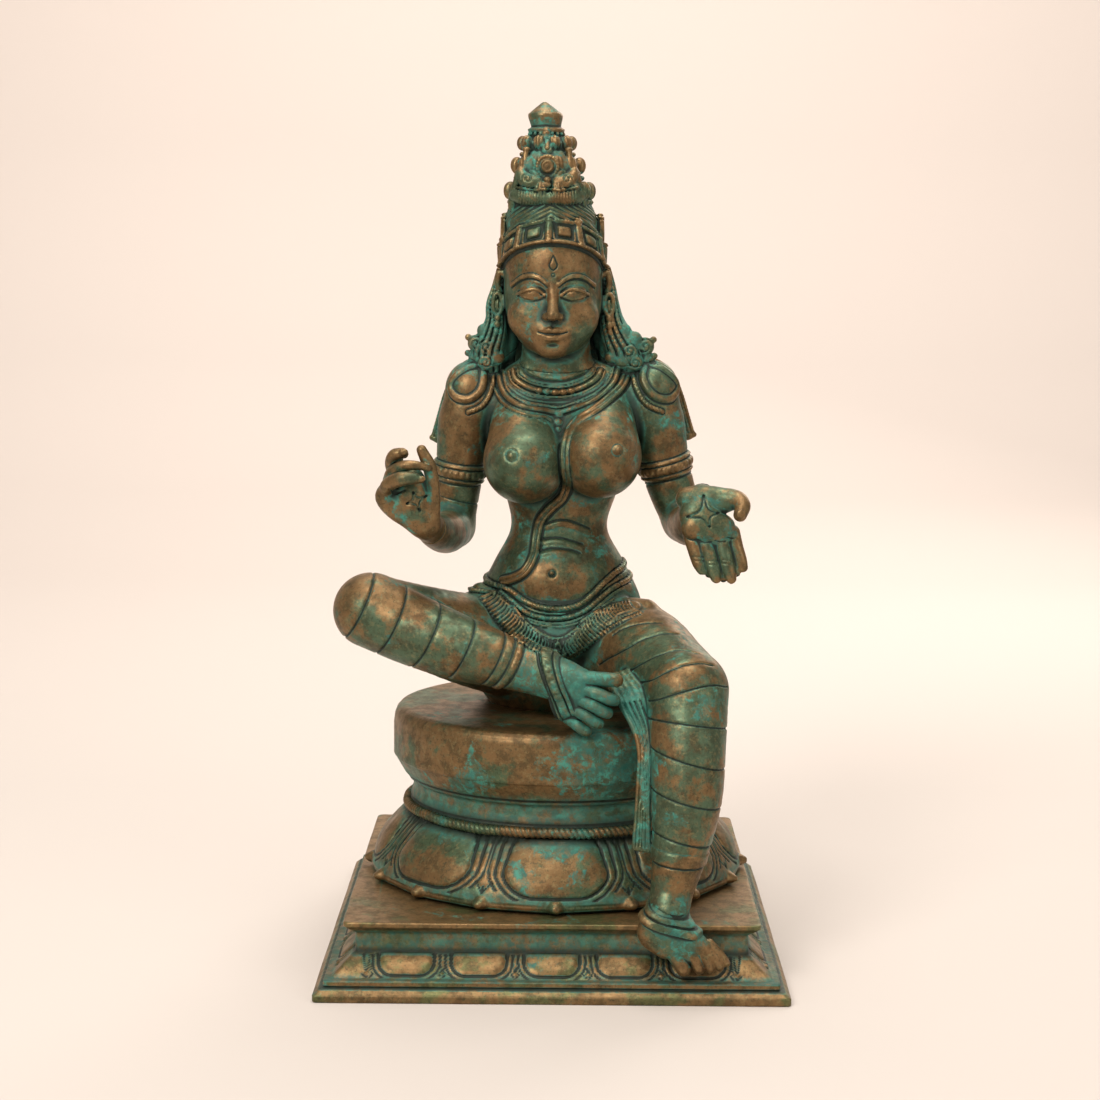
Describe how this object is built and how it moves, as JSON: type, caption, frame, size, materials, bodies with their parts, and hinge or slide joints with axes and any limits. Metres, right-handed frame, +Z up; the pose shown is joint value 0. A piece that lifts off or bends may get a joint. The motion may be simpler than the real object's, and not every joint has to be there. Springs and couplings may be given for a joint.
{
  "type": "seated goddess statue",
  "caption": "Bronze goddess seated with one leg folded and one hanging, on a round lotus pedestal with a square moulded base.",
  "frame": {"origin": "middle of the square base's underside", "axes": "+Z up, -Y towards the viewer in front of the figure, +X to that viewer's right"},
  "size_m": [0.2272, 0.2272, 0.426],
  "materials": {
    "base_bronze": "satin bronze with brown and green patina",
    "pedestal_bronze": "satin bronze with brown and green patina",
    "figure_bronze": "satin bronze with brown and green patina"
  },
  "bodies": {
    "root": {"square_base": "base_bronze", "lotus_pedestal": "pedestal_bronze", "goddess_figure": "figure_bronze"}
  },
  "joints": []
}
